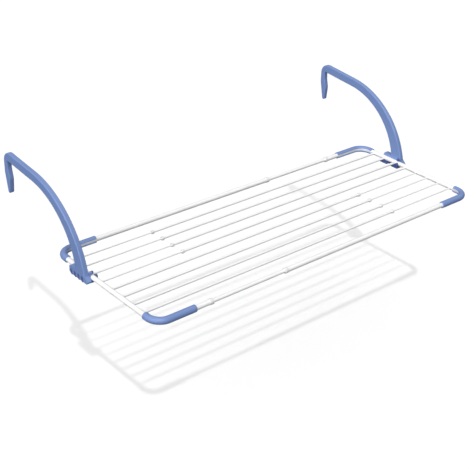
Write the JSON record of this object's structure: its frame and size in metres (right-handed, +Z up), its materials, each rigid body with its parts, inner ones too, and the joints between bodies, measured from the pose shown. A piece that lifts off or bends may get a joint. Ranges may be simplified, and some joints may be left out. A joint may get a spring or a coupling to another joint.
{
  "type": "extendable hang-over drying rack",
  "caption": "Telescopic rack of parallel drying bars in a round-cornered frame, hung from a rail or wall top by two folding hook arms.",
  "frame": {"origin": "middle of the straight edge that both hooks hang over, where the hooks' straight undersides meet the front faces of their legs", "axes": "+X along the bars to the right seen from the room, +Y from the room towards the wall, +Z up"},
  "size_m": [1.0318, 0.5679, 0.2005],
  "materials": {
    "white_paint": "gloss white coating on steel tube and wire",
    "white_plastic": "satin white moulding",
    "blue_plastic": "satin periwinkle blue moulding",
    "dark_blue_plastic": "satin dark blue moulding",
    "zinc_screw": "zinc plated"
  },
  "bodies": {
    "left_half": {"left_frame_tube": "white_paint", "front_rail_inner_tube": "white_paint", "front_rail_glide": "white_plastic", "front_rail_fixed_collar": "white_plastic", "rear_rail_guide_collar": "white_plastic", "rear_left_corner_cap": "blue_plastic", "front_left_corner_cap": "blue_plastic", "rod_5_tube": "white_paint", "rod_5_collar": "white_plastic", "rod_6_tube": "white_paint", "rod_6_collar": "white_plastic", "rod_7_tube": "white_paint", "rod_7_collar": "white_plastic", "rod_8_tube": "white_paint", "rod_8_collar": "white_plastic", "rod_1_wire": "white_paint", "rod_2_wire": "white_paint", "rod_3_wire": "white_paint", "rod_4_wire": "white_paint", "left_wire_end_stops": "white_plastic"},
    "right_half": {"right_frame_tube": "white_paint", "rear_rail_inner_tube": "white_paint", "rear_rail_glide": "white_plastic", "rear_rail_fixed_collar": "white_plastic", "front_rail_guide_collar": "white_plastic", "rear_right_corner_cap": "blue_plastic", "front_right_corner_cap": "blue_plastic", "rod_1_tube": "white_paint", "rod_1_collar": "white_plastic", "rod_2_tube": "white_paint", "rod_2_collar": "white_plastic", "rod_3_tube": "white_paint", "rod_3_collar": "white_plastic", "rod_4_tube": "white_paint", "rod_4_collar": "white_plastic", "rod_5_wire": "white_paint", "rod_6_wire": "white_paint", "rod_7_wire": "white_paint", "rod_8_wire": "white_paint", "right_wire_end_stops": "white_plastic"},
    "left_arm": {"left_arm": "blue_plastic", "left_arm_keeper": "dark_blue_plastic", "left_keeper_screws": "zinc_screw"},
    "right_arm": {"right_arm": "blue_plastic", "right_arm_keeper": "dark_blue_plastic", "right_keeper_screws": "zinc_screw"}
  },
  "joints": [
    {"name": "extension_slide", "type": "slide", "parent": "left_half", "child": "right_half", "axis": [1, 0, 0], "range_m": [-0.205, 0]},
    {"name": "left_arm_fold", "type": "hinge", "parent": "left_half", "child": "left_arm", "pos_m": [-0.496, -0.359, -0.1679], "axis": [0, 1, 0], "range_deg": [0, 90]},
    {"name": "right_arm_fold", "type": "hinge", "parent": "right_half", "child": "right_arm", "pos_m": [0.496, -0.359, -0.1679], "axis": [0, -1, 0], "range_deg": [0, 90]}
  ]
}
